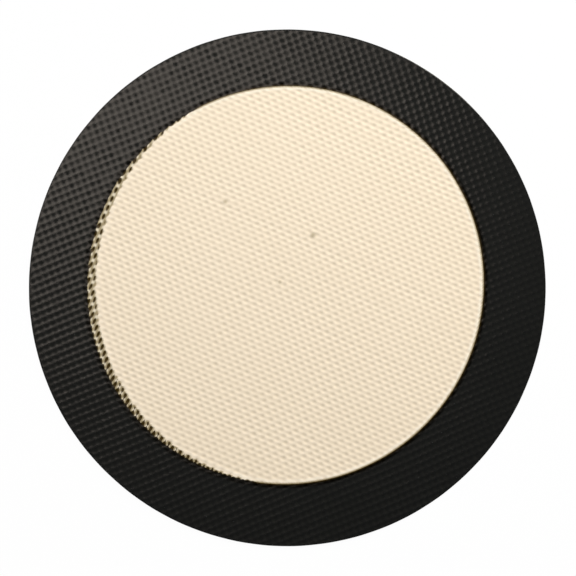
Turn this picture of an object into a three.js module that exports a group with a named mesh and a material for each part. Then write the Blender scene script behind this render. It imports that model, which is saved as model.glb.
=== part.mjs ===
// Round silicone baking mat: a disc of woven glass cloth between two silicone coats, a black ring
// printed round the pale baking field, and a silicone bead that seals the cut edge.
// Millimetres, +Z up. The origin is the centre of the face that lies on the tray.
import * as THREE from 'three';

// Driving dimensions
const matDiameter = 203; // across the edge seal
const sealWidth = 0.6; // how far the seal stands out from the cut edge of the cloth and coats
const sealRounding = 0.3; // radius on the seal's two outer corners
const lowerCoatThickness = 0.2; // silicone under the cloth
const clothThickness = 0.3; // plain-weave glass cloth
const upperCoatThickness = 0.2; // silicone over the cloth
const printThickness = 0.08; // black silicone ink of the ring
const borderWidth = 23.8; // mean width of the black border, seal included
const fieldShiftX = -0.4; // the print sits a little off the centre of the cut
const fieldShiftY = 1.3;

// Fineness of the round shapes
const roundSegments = 144; // sides of every circle
const cornerSteps = 4; // facets of each rounded corner

// Sizes that follow from the driving dimensions
const matRadius = matDiameter / 2;
const cutRadius = matRadius - sealWidth; // where the cloth and its coats are cut
const clothBottom = lowerCoatThickness;
const clothTop = clothBottom + clothThickness;
const coatTop = clothTop + upperCoatThickness;
const printTop = coatTop + printThickness;
const fieldRadius = matRadius - borderWidth; // pale field that the printed ring leaves open
const clearRadius = fieldRadius - Math.hypot(fieldShiftX, fieldShiftY); // bare all the way round
const cornerRadius = Math.min(sealRounding, sealWidth, printTop / 2);

// Materials
const paleSilicone = new THREE.MeshStandardMaterial({ color: 0xf0dfc4, roughness: 0.55, metalness: 0 });
const blackSilicone = new THREE.MeshStandardMaterial({ color: 0x24231f, roughness: 0.5, metalness: 0 });
const glassYarn = new THREE.MeshStandardMaterial({ color: 0xe9e6dc, roughness: 0.7, metalness: 0 });

// A solid of revolution about +Z. The profile is a list of [radius, height] points that runs outwards
// along the bottom and back along the top.
function turned(profile) {
  const points = profile.map(([radius, height]) => new THREE.Vector2(radius, height));
  return new THREE.LatheGeometry(points, roundSegments).rotateX(Math.PI / 2);
}

// A flat disc on the axis. An edge line at seamRadius parts its top face into a field and a rim.
function disc(radius, bottom, top, seamRadius) {
  const seam = seamRadius === undefined ? [] : [[seamRadius, top]];
  return turned([[0, bottom], [radius, bottom], [radius, top], ...seam, [0, top]]);
}

// A flat ring round the axis, whose round opening may lie off the axis.
function printedRing(radius, openingRadius, openingX, openingY, bottom, thickness) {
  const outline = new THREE.Shape().absarc(0, 0, radius, 0, 2 * Math.PI);
  outline.holes.push(new THREE.Path().absarc(openingX, openingY, openingRadius, 0, 2 * Math.PI, true));
  // A full circle is drawn with two sides for each curve segment.
  const options = { depth: thickness, bevelEnabled: false, curveSegments: roundSegments / 2 };
  return new THREE.ExtrudeGeometry(outline, options).translate(0, 0, bottom);
}

// A quarter-round corner of the seal as profile points, turning upwards from the start angle.
function roundedCorner(centreRadius, centreHeight, startAngle) {
  const endAngle = startAngle + Math.PI / 2;
  const corner = new THREE.ArcCurve(centreRadius, centreHeight, cornerRadius, startAngle, endAngle);
  return corner.getPoints(cornerSteps).map((point) => point.toArray());
}

// The bead round the cut edge, as high as the cloth, its coats and the print together.
function edgeSeal() {
  const cornerCentre = matRadius - cornerRadius;
  return turned([
    [cutRadius, 0],
    ...roundedCorner(cornerCentre, cornerRadius, -Math.PI / 2),
    ...roundedCorner(cornerCentre, printTop - cornerRadius, 0),
    [cutRadius, printTop],
    [cutRadius, 0],
  ]);
}

function named(name, geometry, material) {
  const mesh = new THREE.Mesh(geometry, material);
  mesh.name = name;
  return mesh;
}

const mat = new THREE.Group();
mat.add(
  named('lower_coat', disc(cutRadius, 0, clothBottom), paleSilicone),
  named('glass_cloth', disc(cutRadius, clothBottom, clothTop), glassYarn),
  named('upper_coat', disc(cutRadius, clothTop, coatTop, clearRadius), paleSilicone),
  named(
    'printed_border',
    printedRing(cutRadius, fieldRadius, fieldShiftX, fieldShiftY, coatTop, printThickness),
    blackSilicone,
  ),
  named('edge_seal', edgeSeal(), blackSilicone),
);

export default mat;
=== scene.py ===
import math

import bpy
import numpy as np
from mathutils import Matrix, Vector


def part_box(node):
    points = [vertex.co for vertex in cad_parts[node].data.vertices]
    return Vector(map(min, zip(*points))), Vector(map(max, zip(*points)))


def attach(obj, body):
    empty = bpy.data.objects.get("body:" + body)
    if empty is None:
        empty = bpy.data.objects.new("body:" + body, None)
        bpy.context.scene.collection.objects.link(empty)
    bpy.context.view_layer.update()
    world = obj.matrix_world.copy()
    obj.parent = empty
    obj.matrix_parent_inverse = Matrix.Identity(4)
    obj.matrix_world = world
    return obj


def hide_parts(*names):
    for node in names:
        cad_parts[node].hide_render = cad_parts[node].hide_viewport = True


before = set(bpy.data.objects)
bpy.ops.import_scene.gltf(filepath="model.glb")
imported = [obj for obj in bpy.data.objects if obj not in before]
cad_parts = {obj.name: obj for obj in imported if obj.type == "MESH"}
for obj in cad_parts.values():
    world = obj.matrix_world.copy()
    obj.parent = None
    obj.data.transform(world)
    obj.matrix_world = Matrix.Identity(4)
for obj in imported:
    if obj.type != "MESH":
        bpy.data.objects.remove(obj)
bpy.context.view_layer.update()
print("frame loaded:", ", ".join(sorted(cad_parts)))


# Levels and radii that the solids give
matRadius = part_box("edge_seal")[1].x
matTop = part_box("edge_seal")[1].z
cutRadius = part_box("upper_coat")[1].x
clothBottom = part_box("lower_coat")[1].z
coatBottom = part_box("upper_coat")[0].z
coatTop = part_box("upper_coat")[1].z


def findField():
    # the round opening of the printed ring: its centre and radius
    corners = np.array([vertex.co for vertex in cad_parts["printed_border"].data.vertices])
    wellInside = 0.9 * cutRadius  # only the corners of the opening lie within this
    opening = corners[np.hypot(corners[:, 0], corners[:, 1]) < wellInside]
    low = opening.min(0)
    high = opening.max(0)
    return (low[:2] + high[:2]) / 2, (high[0] - low[0]) / 2


fieldCentre, fieldRadius = findField()
print("field radius %.4f m, centre at %.4f, %.4f m" % (fieldRadius, *fieldCentre))


# Steps from 0 to 1
def smooth(x):
    x = np.clip(x, 0, 1)
    return x * x * (3 - 2 * x)


def ramp(x, start, end):
    # 0 up to the start, 1 from the end on
    return smooth((x - start) / (end - start))


def crossed(distance, width, begun=0.5):
    # 0 before an edge and 1 past it; begun is the share at the edge itself
    return smooth(distance / width + begun)


def anglesRound(count):
    return np.linspace(0, 2 * math.pi, count, endpoint=False)


# The weave
weave = {
    "warpAngle": math.radians(-24.0),  # the way the warp threads run, from +X
    "weftAngle": math.radians(64.8),
    "warpPitch": 0.001945,
    "weftPitch": 0.001794,
    "pitPower": 2,  # above 1, the pits are narrower than the floats
    "repeatPlaces": 65,  # places along one repeat at which its height is read
    "unevenThreads": 0.10,
    "unevenCrossings": 0.12,
    "wander": 0.00022,  # slow drift of the threads off their straight lines
    "wanderLength": 0.085,
    "wanderX": (0.7, 1.7, 2.1),  # start of the first wave, then rate and start of the second
    "wanderY": (1.9, 1.3, 0.4),
    "secondWave": 0.5,  # height of the second wave beside the first
    "threadCount": 160,
    "gridReach": 1.06,  # how far the thread grid runs, in radii of the mat
    "snap": 0.3,  # share of a grid step within which points move onto an outline
    "seed": 11,
}
warpNormal = (-math.sin(weave["warpAngle"]), math.cos(weave["warpAngle"]))
weftNormal = (math.sin(weave["weftAngle"]), -math.cos(weave["weftAngle"]))
threadsToPlane = np.linalg.inv(np.array([warpNormal, weftNormal]))
threadCount = weave["threadCount"]
chance = np.random.default_rng(weave["seed"])
warpUneven = weave["unevenThreads"] * chance.standard_normal(threadCount)
weftUneven = weave["unevenThreads"] * chance.standard_normal(threadCount)
crossUneven = weave["unevenCrossings"] * chance.standard_normal((threadCount, threadCount))


def drift(across, along, waves):
    # two slow waves, one on top of the other
    turn = 2 * math.pi / weave["wanderLength"]
    start, rate, secondStart = waves
    return np.sin(turn * across + start) + weave["secondWave"] * np.sin(rate * turn * along + secondStart)


def threadPoint(warp, weft):
    # where a place counted in threads lies on the mat, in metres
    x, y = threadsToPlane @ np.array([warp * weave["warpPitch"], weft * weave["weftPitch"]])
    movedX = x + weave["wander"] * drift(y, x, weave["wanderX"])
    movedY = y + weave["wander"] * drift(x, y, weave["wanderY"])
    return np.stack([movedX, movedY], axis=-1)


def crossingsOf(threads):
    # 1 where a warp thread lies on top, -1 where a weft thread does
    return np.cos(math.pi * threads).prod(1)


def woven(surface, warp, weft, lift=1.0, warpLift=1.0, weftLift=1.0):
    # height over one repeat: floats and pits turn by turn, and grooves along both sets of threads
    turns = np.cos(math.pi * warp) * np.cos(math.pi * weft) * lift
    pits = np.clip((1 - turns) / 2, 0, None) ** weave["pitPower"]
    warpGroove = surface["warpGroove"] * ((1 + np.cos(2 * math.pi * warp)) * warpLift - 1)
    weftGroove = surface["weftGroove"] * ((1 + np.cos(2 * math.pi * weft)) * weftLift - 1)
    return surface["floats"] * turns - surface["pits"] * pits - warpGroove - weftGroove


def reliefRange(surface):
    # lowest and highest place of an even repeat, which is two threads long each way
    places = np.linspace(0, 2, weave["repeatPlaces"])
    heights = woven(surface, *np.meshgrid(places, places))
    return heights.min(), heights.max()


def threadNumbers(counted):
    # which thread a counted place lies on, from 0
    return np.rint(counted).astype(int) + threadCount // 2


def relief(threads, surface):
    # height of the weave in metres, 0 on the crests of an even weave and below 0 in the pits
    warp, weft = threads[:, 0], threads[:, 1]
    warpOwn = warpUneven[threadNumbers(warp)]
    weftOwn = weftUneven[threadNumbers(weft)]
    crossOwn = crossUneven[threadNumbers(warp), threadNumbers(weft)]
    share = surface["uneven"]
    lift = 1 + share * (warpOwn + weftOwn + crossOwn)
    heights = woven(surface, warp, weft, lift, 1 + share * warpOwn, 1 + share * weftOwn)
    return heights - reliefRange(surface)[1]


def depthOf(surface):
    low, high = reliefRange(surface)
    return high - low


def levelOf(threads, surface):
    # height of the weave from 0 in the pits to 1 on the crests
    return 1 + relief(threads, surface) / depthOf(surface)


def yarnTint(threads):
    # each warp thread is a little lighter or darker
    return warpUneven[threadNumbers(threads[:, 0])]


# Meshes on the thread grid
def outwards(outline, points):
    # unit direction in which the signed distance to the outline grows
    reach = 1e-6
    tiny = 1e-12  # keeps a flat spot from dividing by 0
    acrossX = outline(points + (reach, 0)) - outline(points - (reach, 0))
    acrossY = outline(points + (0, reach)) - outline(points - (0, reach))
    slope = np.stack([acrossX, acrossY], axis=-1)
    return slope / np.maximum(np.linalg.norm(slope, axis=-1, keepdims=True), tiny)


def wovenPatch(steps, outline):
    # triangles on the thread grid inside an outline, as points, thread places and corners
    span = int(weave["gridReach"] * matRadius / weave["weftPitch"])
    counted = np.arange(-span * steps, span * steps + 1) / steps
    warp, weft = (grid.ravel() for grid in np.meshgrid(counted, counted, indexing="ij"))
    points = threadPoint(warp, weft)
    threads = np.stack([warp, weft], axis=-1)
    distance = outline(points)
    # points close to the outline move onto it, so that no slivers are cut
    near = np.abs(distance) < weave["snap"] * weave["weftPitch"] / steps
    points[near] -= distance[near, None] * outwards(outline, points[near])
    distance[near] = 0

    across = len(counted)
    first = (np.arange(across - 1)[:, None] * across + np.arange(across - 1)).ravel()
    # the thread grid is left-handed, so the corners run weft first
    lowHalf = np.stack([first, first + 1, first + across + 1], axis=-1)
    highHalf = np.stack([first, first + across + 1, first + across], axis=-1)
    corners = np.concatenate([lowHalf, highHalf])
    outside = distance[corners] > 0
    whole = corners[~outside.any(1)]
    cut = outside.any(1) & ~outside.all(1)
    corners = corners[cut]
    outside = outside[cut]

    # turn each cut triangle until the corner that is alone on its side comes first
    alone = np.where(outside.sum(1) == 1, outside.argmax(1), (~outside).argmax(1))
    order = (alone[:, None] + np.arange(3)) % 3
    corners = np.take_along_axis(corners, order, 1)
    loneOutside = distance[corners[:, 0]] > 0
    ends = []
    for other in (1, 2):
        inner = np.where(loneOutside, corners[:, other], corners[:, 0])
        outer = np.where(loneOutside, corners[:, 0], corners[:, other])
        ends.append(np.stack([inner, outer], axis=-1))
    edges, place = np.unique(np.concatenate(ends), axis=0, return_inverse=True)
    place = place.ravel()
    inner, outer = edges[:, 0], edges[:, 1]
    share = distance[inner] / (distance[inner] - distance[outer])
    crossing = points[inner] + share[:, None] * (points[outer] - points[inner])
    crossing -= outline(crossing)[:, None] * outwards(outline, crossing)
    crossThreads = threads[inner] + share[:, None] * (threads[outer] - threads[inner])
    # an inner end that lies on the outline is the crossing itself
    number = np.where(distance[inner] == 0, inner, len(points) + np.arange(len(edges)))
    onFirst, onSecond = number[place].reshape(2, -1)
    tips = np.stack([corners[:, 0], onFirst, onSecond], axis=-1)[~loneOutside]
    stumpA = np.stack([onFirst, corners[:, 1], corners[:, 2]], axis=-1)[loneOutside]
    stumpB = np.stack([onFirst, corners[:, 2], onSecond], axis=-1)[loneOutside]
    corners = np.concatenate([whole, tips, stumpA, stumpB])
    a, b, c = corners.T
    flat = (a == b) | (b == c) | (c == a)
    used, corners = np.unique(corners[~flat], return_inverse=True)
    points = np.concatenate([points, crossing])[used]
    threads = np.concatenate([threads, crossThreads])[used]
    return points, threads, corners.reshape(-1, 3)


def rims(corners):
    # the open edges of a patch as closed loops of point numbers, longest first
    sides = np.concatenate([corners[:, [0, 1]], corners[:, [1, 2]], corners[:, [2, 0]]])
    known = {(int(a), int(b)) for a, b in sides}
    following = {a: b for a, b in known if (b, a) not in known}
    loops = []
    while following:
        start, now = following.popitem()
        loop = [start]
        while now != start:
            loop.append(now)
            now = following.pop(now)
        loops.append(loop)
    return sorted(loops, key=len, reverse=True)


class Builder:
    # gathers the points and faces of one piece; each point's mark holds the height of the weave, from
    # 0 to 1 and above 1 in the cream's light rim, then the share of bare cloth or of thin ink, and
    # last the yarn's tint or the ink's dark lip of painted shade
    plainMark = (0.5, 0, 0)
    sharpFrom = math.radians(50)  # edges that turn more than this stay sharp

    def __init__(self):
        self.points = []
        self.marks = []
        self.faces = []

    def add(self, points, marks=None):
        start = len(self.points)
        self.points.extend(map(tuple, points))
        self.marks.extend([self.plainMark] * len(points) if marks is None else map(tuple, marks))
        return list(range(start, len(self.points)))

    def patch(self, points, heights, corners, level, edge, shade):
        placed = np.column_stack([points, heights])
        numbers = self.add(placed, np.column_stack([level, np.broadcast_to(edge, level.shape), shade]))
        self.faces.extend(map(tuple, (corners + numbers[0]).tolist()))
        return numbers

    def ring(self, loop, height):
        # the same loop again at another height
        points = [(*self.points[i][:2], height) for i in loop]
        return self.add(points, [self.marks[i] for i in loop])

    def circle(self, radius, height, turn):
        # a loop round the axis; the radius may differ from angle to angle
        heights = np.full(len(turn), height)
        return self.add(np.column_stack([radius * np.cos(turn), radius * np.sin(turn), heights]))

    def wall(self, upper, lower):
        # a strip between two loops of the same count
        for k in range(len(upper)):
            after = (k + 1) % len(upper)
            self.faces.append((upper[after], upper[k], lower[k], lower[after]))

    def annulus(self, outer, inner, upwards):
        # a flat strip between two loops of any count round the field's centre
        def byAngle(loop):
            place = np.array([self.points[i][:2] for i in loop]) - fieldCentre
            turn = np.arctan2(place[:, 1], place[:, 0])
            order = np.argsort(turn)
            return [loop[k] for k in order], turn[order]

        def nextTurn(turn, k):
            # angle of the point after number k, a whole turn on where the loop starts again
            after = k + 1
            return turn[after] if after < len(turn) else turn[after % len(turn)] + 2 * math.pi

        outer, outerTurn = byAngle(outer)
        inner, innerTurn = byAngle(inner)
        a = b = 0
        while a < len(outer) or b < len(inner):
            outerFirst = nextTurn(outerTurn, a) <= nextTurn(innerTurn, b)
            here = (inner[b % len(inner)], outer[a % len(outer)])
            if b >= len(inner) or (a < len(outer) and outerFirst):
                face = (*here, outer[(a + 1) % len(outer)])
                a += 1
            else:
                face = (*here, inner[(b + 1) % len(inner)])
                b += 1
            self.faces.append(face if upwards else face[::-1])

    def piece(self, name, material):
        mesh = bpy.data.meshes.new(name)
        mesh.from_pydata(self.points, [], self.faces)
        mesh.validate()
        marks = mesh.attributes.new("marks", "FLOAT_VECTOR", "POINT")
        marks.data.foreach_set("vector", np.array(self.marks, np.float32).ravel())
        mesh.shade_smooth()
        mesh.set_sharp_from_angle(angle=self.sharpFrom)
        mesh.materials.append(material)
        made = bpy.data.objects.new(name, mesh)
        bpy.context.scene.collection.objects.link(made)
        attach(made, "root")
        print("%s: %d points, %d faces" % (name, len(mesh.vertices), len(mesh.polygons)))
        return made


# Shader maths
class Wire:
    # a socket in a node tree; operators on it add Math nodes
    def __init__(self, tree, socket=None):
        self.tree = tree
        self.socket = socket

    def node(self, kind, settings=None, sockets=None, out=0):
        made = self.tree.nodes.new("ShaderNode" + kind)
        for name, value in (settings or {}).items():
            setattr(made, name, value)
        for name, value in (sockets or {}).items():
            if isinstance(value, Wire):
                self.tree.links.new(value.socket, made.inputs[name])
            else:
                made.inputs[name].default_value = value
        return Wire(self.tree, made.outputs[out] if made.outputs else None)

    def maths(self, operation, *others):
        return self.node("Math", {"operation": operation}, dict(enumerate((self, *others))))

    def __add__(self, other):
        return self.maths("ADD", other)

    __radd__ = __add__

    def __sub__(self, other):
        return self.maths("SUBTRACT", other)

    def __rsub__(self, other):
        return (self * -1) + other

    def __mul__(self, other):
        return self.maths("MULTIPLY", other)

    __rmul__ = __mul__

    def blend(self, first, second):
        # first where this is 0, second where it is 1; a Mix node's colour sockets go by number
        sockets = {0: self, 6: first, 7: second}
        return self.node("Mix", {"data_type": "RGBA"}, sockets, out=2)


def newMaterial(name):
    material = bpy.data.materials.new(name)
    material.use_nodes = True
    material.node_tree.nodes.clear()
    return material, Wire(material.node_tree)


def finishMaterial(wire, shader):
    wire.node("OutputMaterial", sockets={"Surface": shader})


def readMarks(wire):
    # the three values that each point of a piece carries
    marks = wire.node("Attribute", {"attribute_name": "marks"}, out="Vector")
    return [wire.node("SeparateXYZ", sockets={0: marks}, out=axis) for axis in "XYZ"]


def noise(wire, place, scale, detail=2.0):
    return wire.node("TexNoise", sockets={"Vector": place, "Scale": scale, "Detail": detail})


def swing(cloud):
    # noise about 0 instead of about 0.5
    return cloud - 0.5


def colour(red, green, blue):
    # a display colour of 0 to 255 as the linear colour that shaders take
    def linear(value):
        value = value / 255
        return value / 12.92 if value <= 0.04045 else ((value + 0.055) / 1.055) ** 2.4

    return (linear(red), linear(green), linear(blue), 1)


# Silicone of both colours
silicone = {
    "ior": 1.41,
    "grainScale": 2600,
    "grainDetail": 3,
    "grainStrength": 0.15,
    "grainDepth": 0.00005,
}


def siliconeGrain(wire, place):
    # the fine grain of the surface, and the bump that it makes
    grain = noise(wire, place, silicone["grainScale"], silicone["grainDetail"])
    bump = wire.node("Bump", sockets={
        "Strength": silicone["grainStrength"],
        "Distance": silicone["grainDepth"],
        "Height": grain,
    })
    return grain, bump


paleFinish = {
    "float": colour(246, 229, 203),
    # the pit colour is painted shade: the cream is darker down in the hollows of the weave
    "shadedPit": colour(238, 220, 191),
    "rim": colour(255, 244, 222),  # thick cream along the print
    "bareFloat": colour(234, 221, 195),  # cloth that the cream missed beside the print
    "bareGap": colour(158, 142, 106),
    "cloudScale": 30,  # broad, faint changes of tone
    "cloudShare": 0.3,
    "tintShare": 0.5,
    "roughness": 0.5,
    "roughnessGrain": 0.12,
}


def paleSilicone():
    material, wire = newMaterial("paleSilicone")
    place = wire.node("TexCoord", out="Object")
    height, edge, tint = readMarks(wire)
    cloud = noise(wire, place, paleFinish["cloudScale"])
    grain, bump = siliconeGrain(wire, place)
    # painted shade in the pits, by the weave's height, with broad and per-yarn changes of tone
    shadeAndTone = height + swing(cloud) * paleFinish["cloudShare"] + tint * paleFinish["tintShare"]
    cream = shadeAndTone.blend(paleFinish["shadedPit"], paleFinish["float"])
    cream = (height - 1).blend(cream, paleFinish["rim"])
    bare = tint.blend(paleFinish["bareGap"], paleFinish["bareFloat"])
    shader = wire.node("BsdfPrincipled", sockets={
        "Base Color": edge.blend(cream, bare),
        "Roughness": paleFinish["roughness"] + swing(grain) * paleFinish["roughnessGrain"],
        "IOR": silicone["ior"],
        "Normal": bump,
    })
    finishMaterial(wire, shader)
    return material


blackFinish = {
    "groundWithPaintedReflection": colour(31, 31, 29),  # dull, down in the pits; lighter than the skin by a painted reflection, in place of the sheen they lack
    "skin": colour(16, 18, 18),  # satin, on the crests
    "shadedLip": colour(4, 3, 1),  # painted shade along the print's edge
    "thin": colour(60, 46, 16),  # the last of the ink, between the yarns
    "groundRoughness": 0.9,
    "groundSpecular": 0.0,
    "skinRoughness": 0.24,
    "skinSheen": (1.0, 0.88, 0.77, 1),
    "cloudScale": 40,  # broad, faint changes of the satin
    "roughnessCloud": 0.06,
    "roughnessGrain": 0.06,
    "lipSheen": 0.85,  # what the lip keeps of the skin
}


def blackSilicone():
    material, wire = newMaterial("blackSilicone")
    place = wire.node("TexCoord", out="Object")
    height, edge, shadedLip = readMarks(wire)
    cloud = noise(wire, place, blackFinish["cloudScale"])
    grain, bump = siliconeGrain(wire, place)

    def toned(plain):
        # darker on the lip with painted shade, brown where the ink is thin
        return edge.blend(shadedLip.blend(plain, blackFinish["shadedLip"]), blackFinish["thin"])

    # the dull shader has no sheen; its lighter colour is a painted reflection that stands in for it
    groundWithPaintedReflection = wire.node("BsdfPrincipled", sockets={
        "Base Color": toned(blackFinish["groundWithPaintedReflection"]),
        "Roughness": blackFinish["groundRoughness"],
        "Specular IOR Level": blackFinish["groundSpecular"],
        "Normal": bump,
    })
    roughness = blackFinish["skinRoughness"] + swing(cloud) * blackFinish["roughnessCloud"]
    skin = wire.node("BsdfPrincipled", sockets={
        "Base Color": toned(blackFinish["skin"]),
        "Roughness": roughness + swing(grain) * blackFinish["roughnessGrain"],
        "IOR": silicone["ior"],
        "Specular Tint": blackFinish["skinSheen"],
        "Normal": bump,
    })
    cover = height * (1 - shadedLip * (1 - blackFinish["lipSheen"]))
    shader = wire.node("MixShader", sockets={0: cover, 1: groundWithPaintedReflection, 2: skin})
    finishMaterial(wire, shader)
    return material


yarnFinish = {
    # the hollow colour is painted shade: the yarn is darker down in the hollows of the weave
    "shadedHollow": colour(205, 199, 182),
    "strand": colour(240, 238, 230),
    "strandScale": 900,
    "strandDetail": 4,
    "strandShare": 0.3,  # of the tone; the rest goes by height, as painted shade in the hollows
    "strandStrength": 0.3,
    "strandDepth": 0.00005,
    "roughness": 0.45,
    "roughnessStrands": 0.2,
}


def glassYarn():
    material, wire = newMaterial("glassYarn")
    place = wire.node("TexCoord", out="Object")
    height = readMarks(wire)[0]
    strands = noise(wire, place, yarnFinish["strandScale"], yarnFinish["strandDetail"])
    tone = height * (1 - yarnFinish["strandShare"]) + strands * yarnFinish["strandShare"]
    bump = wire.node("Bump", sockets={
        "Strength": yarnFinish["strandStrength"],
        "Distance": yarnFinish["strandDepth"],
        "Height": strands,
    })
    shader = wire.node("BsdfPrincipled", sockets={
        "Base Color": tone.blend(yarnFinish["shadedHollow"], yarnFinish["strand"]),
        "Roughness": strands * yarnFinish["roughnessStrands"] + yarnFinish["roughness"],
        "Normal": bump,
    })
    finishMaterial(wire, shader)
    return material


pale = paleSilicone()
black = blackSilicone()
print("materials made")


# Where the pieces end
printEdge = {
    "oval": 0.00055,  # the opening is a little longer one way
    "ovalTurn": math.radians(62),
    "drop": 0.0002,  # and lies a little low
    "spread": 0.00012,  # and a little wide
    "gapMiddle": math.radians(189),  # the cream stops short of the print on the left
    "gapWidth": 0.0035,
    "gapPrint": 0.00072,  # the print too draws back there
    "gapEnds": math.cos(math.radians(73)),
    "crisp": 0.0003,  # width over which ink and cream end
}


def pastCut(points):
    # distance outwards past the cut edge
    return np.linalg.norm(points, axis=-1) - cutRadius


def pastEdge(points):
    # distance outwards past the print's edge, and the width of the gap beside it
    offset = points - fieldCentre + (0, printEdge["drop"])
    turn = np.arctan2(offset[:, 1], offset[:, 0])
    ends = printEdge["gapEnds"]
    share = np.maximum(0, (np.cos(turn - printEdge["gapMiddle"]) - ends) / (1 - ends))
    oval = printEdge["oval"] * np.cos(2 * (turn - printEdge["ovalTurn"]))
    edge = fieldRadius + printEdge["spread"] + oval + printEdge["gapPrint"] * smooth(share)
    return np.linalg.norm(offset, axis=-1) - edge, printEdge["gapWidth"] * share


def besideGap(gap):
    # 1 along the gap, 0 where the cream runs under the print
    return smooth(gap / printEdge["crisp"])


# The baking coat: weave in the open field, a plain ledge under the print
coat = {
    "floats": 0.000055,  # heights of the weave
    "pits": 0.0,
    "warpGroove": 0.000043,
    "weftGroove": 0.000014,
    "uneven": 1.0,
    "steps": 4,
    "underPrint": 0.0012,  # how far the weave is modelled under the print
    "ledge": 0.00003,  # what is left of the coat there
    "thinnest": 0.000012,
    "levelFrom": 0.0019,  # the cream levels out along its end
    "levelTo": 0.0014,
    "levelUnder": 0.0008,
    "levelShare": 0.4,  # of the weave's height that is lost there
    "rimTone": 0.85,  # how light the levelled rim is
    "rimBesideGap": 0.4,  # what is left of the rim beside a wide gap
    "rimGap": 0.0015,  # from here on a gap is wide
    "stainFrom": 0.00074,  # the cream takes some ink right beside the print
    "stainTo": 0.0002,
    "rimWave": 0.0004,  # the cream goes further on some crossings than on others
    "cutPoints": 360,
    "specks": [  # x, y and reach of each
        (-0.0244, 0.0337, 0.0014),
        (0.0101, 0.0207, 0.0019),
        (-0.0029, 0.0023, 0.0011),
    ],
    "speckTone": 0.7,
}
ledge = coatBottom + coat["ledge"]


def levelled(points):
    # share by which the weave of the cream evens out
    past, gap = pastEdge(points)
    past = past + gap
    rise = ramp(past, -coat["levelFrom"], -coat["levelTo"])
    kept = 1 - (1 - coat["rimBesideGap"]) * smooth(gap / coat["rimGap"])
    return rise * (1 - smooth(past / coat["levelUnder"])) * kept


def coatHeight(points, threads):
    height = coatTop + relief(threads, coat) * (1 - coat["levelShare"] * levelled(points))
    return np.maximum(height, coatBottom + coat["thinnest"])


def speckShare(points):
    # thin spots of the coat, where the cloth shows a little
    share = np.zeros(len(points))
    for x, y, reach in coat["specks"]:
        away = np.hypot(points[:, 0] - x, points[:, 1] - y)
        share = np.maximum(share, coat["speckTone"] * (1 - smooth(away / reach)))
    return share


def makeBakingCoat():
    points, threads, corners = wovenPatch(coat["steps"], lambda p: pastEdge(p)[0] - coat["underPrint"])
    past, gap = pastEdge(points)
    beside = besideGap(gap)
    crossings = crossingsOf(threads)
    bare = crossed(past + gap - coat["rimWave"] * crossings, printEdge["crisp"]) * beside
    stain = ramp(past, -coat["stainFrom"], -coat["stainTo"]) * (1 - beside)
    shown = np.maximum(np.maximum(bare, stain), speckShare(points))
    # in the bare cloth the tint tells the floats from the gaps beside them
    tint = yarnTint(threads)
    tint = (tint + (smooth(crossings) - tint) * bare) * (1 - stain)
    level = levelOf(threads, coat) + coat["rimTone"] * levelled(points)
    build = Builder()
    build.patch(points, coatHeight(points, threads), corners, level, shown, tint)
    rim = rims(corners)[0]
    step = build.ring(rim, ledge)
    build.wall(rim, step)
    edge = build.circle(cutRadius, ledge, anglesRound(coat["cutPoints"]))
    build.annulus(edge, step, True)
    foot = build.ring(edge, coatBottom)
    build.wall(edge, foot)
    build.faces.append(tuple(reversed(foot)))
    made = build.piece("baking_coat", pale)
    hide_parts("upper_coat")


makeBakingCoat()


# The printed ring: a film over the weave, with dashes left on the cloth where the cream stops short
ink = {
    "floats": 0.000064,
    "pits": 0.000010,
    "warpGroove": 0.000011,
    "weftGroove": 0.0,
    "uneven": 0.9,
    "steps": 4,
    "flatShare": 0.45,  # the film is thicker at the right, where less of the weave shows
    "flatFrom": 0.06,
    "flatTo": 0.1,
    "settle": 0.0015,  # from the print's edge to the full weave of the film
    "dashLevel": -0.2,  # how far up the yarns the dashes in the gap reach
    "dashMore": 0.2,  # and how much further towards the front
    "dashFront": 0.05,
    "dashGap": 0.002,  # where the gap is this wide
    "dashReach": 1.3,  # a level beyond every yarn
    "dashRound": 0.48,  # 1 for round dots, less for dashes along the weft
    "dashLift": 0.00003,
    "ragged": 0.0016,  # width over which the print's edge goes in and out beside the gap
    "raggedBegun": 0.5,
    "edgeFade": 0.0006,  # the weave levels out towards the edge bead
    "beadDepth": 0.3,  # how far down the weave the bead's top lies
    "thinBack": 0.0006,  # beside the gap only the dashes are thin, from here inwards
    "thinTo": 0.0006,  # thin ink at the very edge
    "lipFrom": 0.0012,  # the dark lip of painted shade along the print's edge, and where it ends
    "lipTo": 0.0019,
    "lipBesideGap": 0.8,
}
beadTop = matTop - ink["beadDepth"] * depthOf(ink)


def ringOutline(points):
    past, gap = pastEdge(points)
    spread = gap + printEdge["crisp"] * besideGap(gap)
    return np.maximum(pastCut(points), -past - spread)


def filmHeight(points, threads):
    flat = ink["flatShare"] * ramp(points[:, 0], ink["flatFrom"], ink["flatTo"])
    film = matTop + relief(threads, ink) * (1 - flat)
    return film + (beadTop - film) * ramp(pastCut(points), -ink["edgeFade"], 0)


def dashLevel(points, gap):
    # how far up the yarns the ink reaches in the gap
    front = smooth((fieldCentre[1] - points[:, 1]) / ink["dashFront"])
    return ink["dashLevel"] + ink["dashMore"] * front * smooth(gap / ink["dashGap"])


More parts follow.
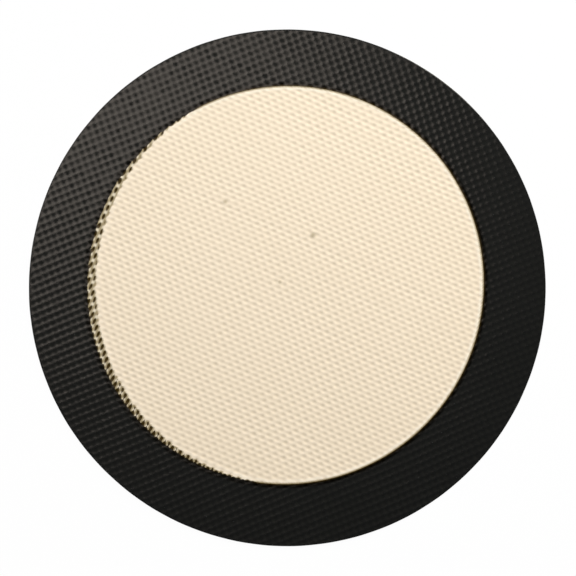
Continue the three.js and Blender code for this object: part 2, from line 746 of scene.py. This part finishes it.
def inkHeight(points, threads):
    past, gap = pastEdge(points)
    beside = besideGap(gap)
    crisp = printEdge["crisp"]
    ragged = crisp + (ink["ragged"] - crisp) * beside
    begun = 1 - ink["raggedBegun"] * beside  # the edge is clean where no gap is
    dash = dashLevel(points, gap)
    level = dash + (ink["dashReach"] - dash) * crossed(past, ragged, begun)
    level = level - (ink["dashReach"] + dash) * (1 - crossed(past + gap, crisp, begun))
    # in the gap, ink stands above the coat only between the yarns
    weftLines = np.cos(2 * math.pi * threads[:, 1])
    yarns = ink["dashRound"] * crossingsOf(threads) - (1 - ink["dashRound"]) * weftLines
    cream = coatHeight(points, threads)
    dashes = cream + ink["dashLift"] * (level - yarns)
    height = dashes + (filmHeight(points, threads) - dashes) * smooth(past / ink["settle"])
    covered = np.where(past > ragged * beside, cream + ink["dashLift"], ledge)
    return np.maximum(height, covered)


def makePrintedRing():
    points, threads, corners = wovenPatch(ink["steps"], ringOutline)
    past, gap = pastEdge(points)
    beside = besideGap(gap)
    thin = 1 - smooth((past + ink["thinBack"] * beside) / ink["thinTo"])
    shadedLip = 1 - ramp(past, ink["lipFrom"], ink["lipTo"])
    shadedLip = shadedLip * (1 - (1 - ink["lipBesideGap"]) * beside)
    build = Builder()
    build.patch(points, inkHeight(points, threads), corners, levelOf(threads, ink), thin, shadedLip)
    feet = []
    for rim in rims(corners)[:2]:
        feet.append(build.ring(rim, ledge))
        build.wall(rim, feet[-1])
    inner, outer = sorted(feet, key=lambda foot: np.hypot(*build.points[foot[0]][:2]))
    build.annulus(outer, inner, False)
    made = build.piece("printed_ring", black)
    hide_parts("printed_border")


makePrintedRing()


# The bead round the cut edge
bead = {
    "sections": 720,
    "profileSteps": 9,
    "roundness": 0.7,  # 1 for a plain half oval, less for a fuller one
    "ripple": 0.00004,
    "waves": (7, 13, 29, 53),  # how often each wave of the ripple goes round
    "leastWave": 0.3,
    "lastStart": 6.28,
    "seed": 3,
}


def beadRipple(turn):
    draw = np.random.default_rng(bead["seed"])
    ripple = np.zeros(len(turn))
    for wave in bead["waves"]:
        weight = draw.uniform(bead["leastWave"], 1)
        start = draw.uniform(0, bead["lastStart"])
        ripple += weight * np.sin(wave * turn + start)
    return bead["ripple"] * ripple / np.abs(ripple).max()


def makeEdgeBead():
    turn = anglesRound(bead["sections"])
    width = matRadius - cutRadius - bead["ripple"] + beadRipple(turn)
    build = Builder()
    loops = []
    for step in range(bead["profileSteps"] + 1):
        angle = math.pi * (0.5 - step / bead["profileSteps"])
        bulge = math.cos(angle) ** bead["roundness"]
        height = beadTop / 2 + beadTop / 2 * math.sin(angle)
        loops.append(build.circle(cutRadius + width * bulge, height, turn))
    for upper, lower in zip(loops, loops[1:] + loops[:1]):
        build.wall(upper, lower)
    made = build.piece("edge_bead", black)
    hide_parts("edge_seal")


makeEdgeBead()


# The coat that lies on the tray, with a softer weave
tray = {
    "floats": 0.00004,
    "pits": 0.0,
    "warpGroove": 0.000015,
    "weftGroove": 0.000008,
    "uneven": 1.0,
    "steps": 3,
}


def makeTrayCoat():
    points, threads, corners = wovenPatch(tray["steps"], pastCut)
    # a warp thread that is on top above is underneath here, and the tray flattens the highest crests
    heights = np.maximum(0, -relief(threads + (1, 0), tray))
    build = Builder()
    build.patch(points, heights, corners[:, ::-1], levelOf(threads, tray), 0.0, yarnTint(threads))
    rim = rims(corners)[0]
    top = build.ring(rim, clothBottom)
    build.wall(top, rim)
    build.faces.append(tuple(top))
    made = build.piece("tray_coat", pale)
    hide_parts("lower_coat")


makeTrayCoat()


# The glass cloth between the coats, woven on both faces
cloth = {
    "floats": 0.00005,
    "pits": 0.0,
    "warpGroove": -0.00004,  # below 0: the yarns stand up
    "weftGroove": -0.00004,
    "uneven": 1.0,
    "steps": 2,
}


def makeGlassCloth():
    points, threads, corners = wovenPatch(cloth["steps"], pastCut)
    upper = coatBottom + relief(threads, cloth)
    under = clothBottom - relief(threads + (1, 0), cloth)
    level = levelOf(threads, cloth)
    tint = yarnTint(threads)
    build = Builder()
    top = build.patch(points, upper, corners, level, 0.0, tint)
    base = build.patch(points, under, corners[:, ::-1], level, 0.0, tint)
    rim = rims(corners)[0]
    build.wall([top[i] for i in rim], [base[i] for i in rim])
    made = build.piece("glass_weave", glassYarn())
    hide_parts("glass_cloth")


makeGlassCloth()


# Floor, light and camera
studio = {
    "floorRadius": 4.0,
    "floorSides": 128,
    "floorDrop": 0.00005,  # keeps the floor clear of the mat's underside
    "wallFoot": (1.15, 0.3),  # radius in floor radii, and height
    "wallTop": (1.2, 1.6),
    "floorTone": (0.95, 0.95, 0.95, 1),
    "floorSoftness": 0.97,  # share of plain white that the camera sees on the floor
    "white": (1, 1, 1, 1),
    "ambient": 0.07,
    "lights": {
        "ceilingLight": {
            "place": (-0.4, 0.33, 1.13),
            "aim": (-0.4, 0.33, 0),
            "size": (0.94, 0.58),
            "power": 6.75,
        },
        "sideLight": {
            "place": (0.79, 1.01, 0.467),
            "aim": (0, 0, 0),
            "size": (0.52, 0.52),
            "power": 30.7,
        },
    },
}


def studioWhite():
    material, wire = newMaterial("studioWhite")
    rays = ("Is Camera Ray", "Is Glossy Ray", "Is Transmission Ray")
    direct, mirrored, through = (wire.node("LightPath", out=ray) for ray in rays)
    seen = direct.maths("MAXIMUM", mirrored).maths("MAXIMUM", through)
    plain = wire.node("BsdfDiffuse", sockets={"Color": studio["floorTone"]})
    lit = wire.node("Emission", sockets={"Color": studio["white"], "Strength": 1.0})
    shader = wire.node("MixShader", sockets={0: seen * studio["floorSoftness"], 1: plain, 2: lit})
    finishMaterial(wire, shader)
    return material


def makeFloor():
    count = studio["floorSides"]
    outline = [(1.0, -studio["floorDrop"]), studio["wallFoot"], studio["wallTop"]]
    points = []
    for share, height in outline:
        radius = share * studio["floorRadius"]
        points.extend((radius * math.cos(t), radius * math.sin(t), height) for t in anglesRound(count))
    faces = [tuple(range(count))]
    for level in range(len(outline) - 1):
        start = level * count
        for k in range(count):
            after = (k + 1) % count
            faces.append((start + k, start + count + k, start + count + after, start + after))
    mesh = bpy.data.meshes.new("studio_floor")
    mesh.from_pydata(points, [], faces)
    mesh.materials.append(studioWhite())
    floor = bpy.data.objects.new("studio_floor", mesh)
    bpy.context.scene.collection.objects.link(floor)


def makeLights():
    for name, light in studio["lights"].items():
        lamp = bpy.data.lights.new(name, "AREA")
        lamp.shape = "RECTANGLE"
        lamp.size, lamp.size_y = light["size"]
        lamp.energy = light["power"]
        made = bpy.data.objects.new(name, lamp)
        made.location = light["place"]
        away = Vector(light["place"]) - Vector(light["aim"])
        made.rotation_euler = away.to_track_quat("Z", "Y").to_euler()
        bpy.context.scene.collection.objects.link(made)
    world = bpy.data.worlds.new("studio")
    world.use_nodes = True
    sky = world.node_tree.nodes["Background"].inputs
    sky["Color"].default_value = studio["white"]
    sky["Strength"].default_value = studio["ambient"]
    bpy.context.scene.world = world


photo = {
    "side": 576,  # pixels
    "matCentre": (287.3, 287.8),  # pixels from the left and from the top
    "matRadius": 258.7,
    "lens": 85,
    "sensor": 36,
    "nearest": 0.01,
}


def makeCamera():
    lens = bpy.data.cameras.new("camera")
    lens.lens = photo["lens"]
    lens.sensor_width = photo["sensor"]
    lens.clip_start = photo["nearest"]
    camera = bpy.data.objects.new("camera", lens)
    pixel = matRadius / photo["matRadius"]
    half = photo["side"] / 2
    away = half * pixel * photo["lens"] / (photo["sensor"] / 2)
    camera.location = (
        (half - photo["matCentre"][0]) * pixel,
        (photo["matCentre"][1] - half) * pixel,
        matTop + away,
    )
    bpy.context.scene.collection.objects.link(camera)
    bpy.context.scene.camera = camera


makeFloor()
makeLights()
makeCamera()
bpy.context.scene.view_settings.view_transform = "Standard"
print("studio made")
